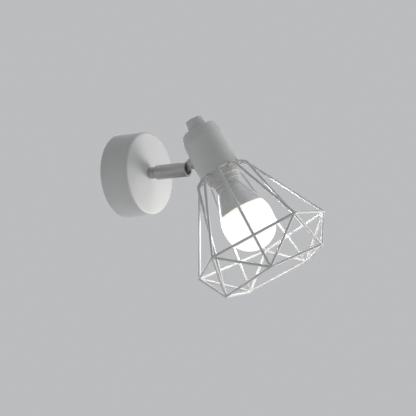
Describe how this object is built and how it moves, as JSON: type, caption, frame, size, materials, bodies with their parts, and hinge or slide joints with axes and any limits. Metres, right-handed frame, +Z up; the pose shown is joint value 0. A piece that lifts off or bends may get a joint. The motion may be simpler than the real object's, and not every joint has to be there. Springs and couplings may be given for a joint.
{
  "type": "cage wall light",
  "caption": "Wall light: round canopy, swivelling arm with a slotted knuckle, and a tilting lampholder cup that carries a faceted wire cage round a screw-in lamp.",
  "frame": {"origin": "centre of the wall bracket's back face, on the wall, which is the canopy's axis", "axes": "+Z up the wall, +X to the right along the wall as seen from the room, -Y out of the wall into the room"},
  "size_m": [0.1633, 0.248, 0.212],
  "materials": {
    "white_paint": "satin powder coat",
    "satin_steel": "brushed satin",
    "zinc_plate": "bright zinc plate",
    "brass": "turned",
    "holder_plastic": "moulded thermoplastic",
    "clear_nylon": "natural nylon",
    "lamp_housing": "smooth moulded",
    "lamp_diffuser": "opal, lit",
    "aluminium_board": "mill finish",
    "nickel_cap": "rolled",
    "black_glass": "fused"
  },
  "bodies": {
    "wall_mount": {"canopy": "white_paint", "wall_bracket": "zinc_plate", "canopy_side_screws": "zinc_plate", "terminal_block": "clear_nylon", "terminal_screws": "brass", "earth_screw": "brass", "earth_washer": "brass"},
    "arm": {"arm": "satin_steel", "swivel_stop_plate": "zinc_plate", "swivel_spring_washer": "zinc_plate", "swivel_nut": "zinc_plate", "hinge_pin": "satin_steel", "hinge_washers": "satin_steel"},
    "head": {"centre_contact": "brass", "holder_cup": "white_paint", "knuckle_tongue": "satin_steel", "lampholder_body": "holder_plastic", "lampholder_cap": "holder_plastic", "lampholder_insert": "holder_plastic", "nipple_locknut": "zinc_plate", "socket_shell": "brass", "threaded_nipple": "zinc_plate", "tongue_nut": "zinc_plate", "tongue_saddle": "zinc_plate", "top_knob": "white_paint"},
    "cage": {"cage_collar": "white_paint", "cage_inner_rib_1": "white_paint", "cage_inner_rib_2": "white_paint", "cage_inner_rib_3": "white_paint", "cage_inner_rib_4": "white_paint", "cage_inner_rib_5": "white_paint", "cage_mouth_ring": "white_paint", "cage_outer_rib_1": "white_paint", "cage_outer_rib_2": "white_paint", "cage_outer_rib_3": "white_paint", "cage_outer_rib_4": "white_paint", "cage_outer_rib_5": "white_paint", "cage_strut_1": "white_paint", "cage_strut_10": "white_paint", "cage_strut_2": "white_paint", "cage_strut_3": "white_paint", "cage_strut_4": "white_paint", "cage_strut_5": "white_paint", "cage_strut_6": "white_paint", "cage_strut_7": "white_paint", "cage_strut_8": "white_paint", "cage_strut_9": "white_paint", "cage_waist_ring": "white_paint"},
    "shade_ring": {"shade_ring": "holder_plastic"},
    "lamp": {"lamp_contact": "nickel_cap", "lamp_insulator": "black_glass", "lamp_screw_cap": "nickel_cap", "lamp_body": "lamp_housing", "lamp_dome": "lamp_diffuser", "led_board": "aluminium_board"}
  },
  "joints": [
    {"name": "arm_swivel", "type": "hinge", "parent": "wall_mount", "child": "arm", "pos_m": [0, -0.0365, 0], "axis": [0, -1, 0], "range_deg": [-176, 152]},
    {"name": "head_tilt", "type": "hinge", "parent": "arm", "child": "head", "pos_m": [0, -0.0825, 0], "axis": [-0.9781, 0, -0.2079], "range_deg": [-25.3, 64.7]},
    {"name": "cage_turn", "type": "hinge", "parent": "head", "child": "cage", "pos_m": [-0.00377, -0.12083, 0.01772], "axis": [0.188, -0.4274, -0.8843], "continuous": true},
    {"name": "shade_ring_turn", "type": "hinge", "parent": "head", "child": "shade_ring", "pos_m": [-0.00377, -0.12083, 0.01772], "axis": [0.188, -0.4274, -0.8843], "range_deg": [0, 720]},
    {"name": "lamp_turn", "type": "hinge", "parent": "head", "child": "lamp", "pos_m": [-0.00377, -0.12083, 0.01772], "axis": [0.188, -0.4274, -0.8843], "range_deg": [0, 1080]}
  ]
}
